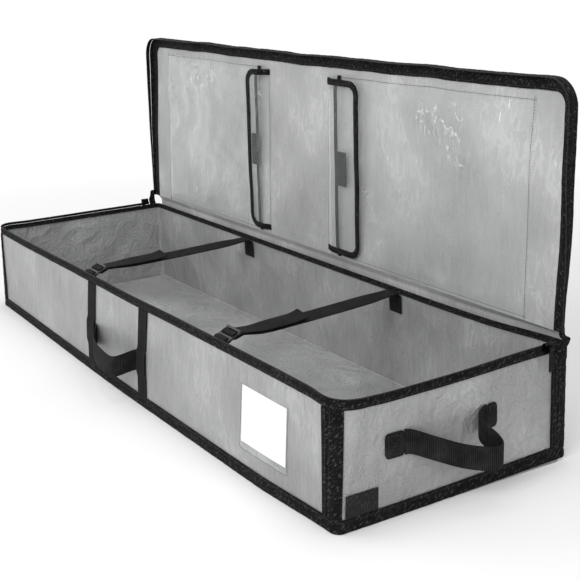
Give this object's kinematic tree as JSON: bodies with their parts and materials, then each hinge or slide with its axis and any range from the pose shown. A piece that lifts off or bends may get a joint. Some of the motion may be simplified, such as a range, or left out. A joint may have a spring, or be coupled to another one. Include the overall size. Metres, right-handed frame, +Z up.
{
  "type": "gift wrap organizer bag",
  "caption": "Long underbed storage bag for gift wrap: soft tray with an upright zip lid, clear lid pockets, hold-down straps and webbing handles.",
  "frame": {"origin": "middle of the underside of the tray", "axes": "+X along the bag to the right, +Y to the hinge side, +Z up"},
  "size_m": [1.1236, 0.3414, 0.4336],
  "materials": {
    "grey_film": "glossy laminated woven film",
    "black_tape": "matte woven binding tape",
    "black_webbing": "ribbed webbing",
    "clear_film": "clear flexible film",
    "black_plastic": "moulded",
    "white_card": "blank paper card",
    "slate_weave": "bare woven tag",
    "dark_metal": "dark plated die-cast",
    "hook_pad": "hook and loop"
  },
  "bodies": {
    "tray": {"floor_panel": "grey_film", "front_panel": "grey_film", "back_panel": "grey_film", "left_panel": "grey_film", "right_panel": "grey_film", "bottom_binding": "black_tape", "rim_binding": "black_tape", "corner_binding_front_left": "black_tape", "corner_binding_front_right": "black_tape", "corner_binding_back_left": "black_tape", "corner_binding_back_right": "black_tape", "tray_zipper": "black_tape", "zipper_stop_left": "black_tape", "zipper_stop_right": "black_tape", "front_band_left": "black_webbing", "front_band_right": "black_webbing", "handle_front_end_left": "black_webbing", "handle_front_end_right": "black_webbing", "handle_right_end_near": "black_webbing", "handle_right_end_far": "black_webbing", "handle_left_end_near": "black_webbing", "handle_left_end_far": "black_webbing", "strap_left": "black_webbing", "strap_right": "black_webbing", "strap_anchor_left": "black_webbing", "strap_anchor_right": "black_webbing", "label_card": "white_card", "label_window": "clear_film", "side_tag": "slate_weave"},
    "lid": {"lid_panel": "grey_film", "lid_binding": "black_tape", "lid_zipper": "black_tape", "hinge_tape": "grey_film", "pocket_left": "clear_film", "pocket_right": "clear_film", "pocket_edge_left": "black_tape", "pocket_edge_right": "black_tape", "loop_pad_left": "hook_pad", "loop_pad_right": "hook_pad"},
    "flap_left": {"flap_left": "clear_film", "flap_binding_left": "black_tape", "hook_pad_left": "hook_pad"},
    "flap_right": {"flap_right": "clear_film", "flap_binding_right": "black_tape", "hook_pad_right": "hook_pad"},
    "handle_front": {"handle_front": "black_webbing"},
    "handle_left": {"handle_left": "black_webbing"},
    "handle_right": {"handle_right": "black_webbing"},
    "ladder_lock_left": {"ladder_lock_left": "black_plastic"},
    "ladder_lock_right": {"ladder_lock_right": "black_plastic"},
    "zipper_slider_left": {"zipper_slider_left": "dark_metal"},
    "zipper_slider_right": {"zipper_slider_right": "dark_metal"},
    "zipper_pull_left": {"zipper_pull_left": "dark_metal"},
    "zipper_pull_right": {"zipper_pull_right": "dark_metal"}
  },
  "joints": [
    {"name": "lid_hinge", "type": "hinge", "parent": "tray", "child": "lid", "pos_m": [0, 0.142, 0.14], "axis": [1, 0, 0], "range_deg": [-90, 90], "deforming": ["hinge_tape"]},
    {"name": "flap_left_hinge", "type": "hinge", "parent": "lid", "child": "flap_left", "pos_m": [-0.109, 0.1522, 0.28025], "axis": [0, 0, 1], "range_deg": [0, 145]},
    {"name": "flap_right_hinge", "type": "hinge", "parent": "lid", "child": "flap_right", "pos_m": [0.048, 0.1522, 0.28025], "axis": [0, 0, -1], "range_deg": [0, 145]},
    {"name": "handle_front_lift", "type": "hinge", "parent": "tray", "child": "handle_front", "pos_m": [0, -0.1503, 0.07275], "axis": [-1, 0, 0], "range_deg": [0, 80]},
    {"name": "handle_right_lift", "type": "hinge", "parent": "tray", "child": "handle_right", "pos_m": [0.5153, 0, 0.09425], "axis": [0, -1, 0], "range_deg": [0, 80]},
    {"name": "handle_left_lift", "type": "hinge", "parent": "tray", "child": "handle_left", "pos_m": [-0.5153, 0, 0.09425], "axis": [0, 1, 0], "range_deg": [0, 80]},
    {"name": "ladder_lock_left_tilt", "type": "hinge", "parent": "tray", "child": "ladder_lock_left", "pos_m": [-0.1085, -0.143, 0.134], "axis": [1, 0, 0], "range_deg": [0, 22], "deforming": ["strap_left"]},
    {"name": "ladder_lock_right_tilt", "type": "hinge", "parent": "tray", "child": "ladder_lock_right", "pos_m": [0.279, -0.143, 0.134], "axis": [1, 0, 0], "range_deg": [0, 22], "deforming": ["strap_right"]},
    {"name": "zipper_slider_left_travel", "type": "slide", "parent": "tray", "child": "zipper_slider_left", "axis": [0, -1, 0], "range_m": [0, 0.235]},
    {"name": "zipper_slider_right_travel", "type": "slide", "parent": "tray", "child": "zipper_slider_right", "axis": [0, -1, 0], "range_m": [0, 0.235]},
    {"name": "zipper_pull_left_swing", "type": "hinge", "parent": "zipper_slider_left", "child": "zipper_pull_left", "pos_m": [-0.5205, 0.1235, 0.14], "axis": [0, 1, 0], "range_deg": [0, 150]},
    {"name": "zipper_pull_right_swing", "type": "hinge", "parent": "zipper_slider_right", "child": "zipper_pull_right", "pos_m": [0.5205, 0.1235, 0.14], "axis": [0, -1, 0], "range_deg": [0, 150]}
  ]
}
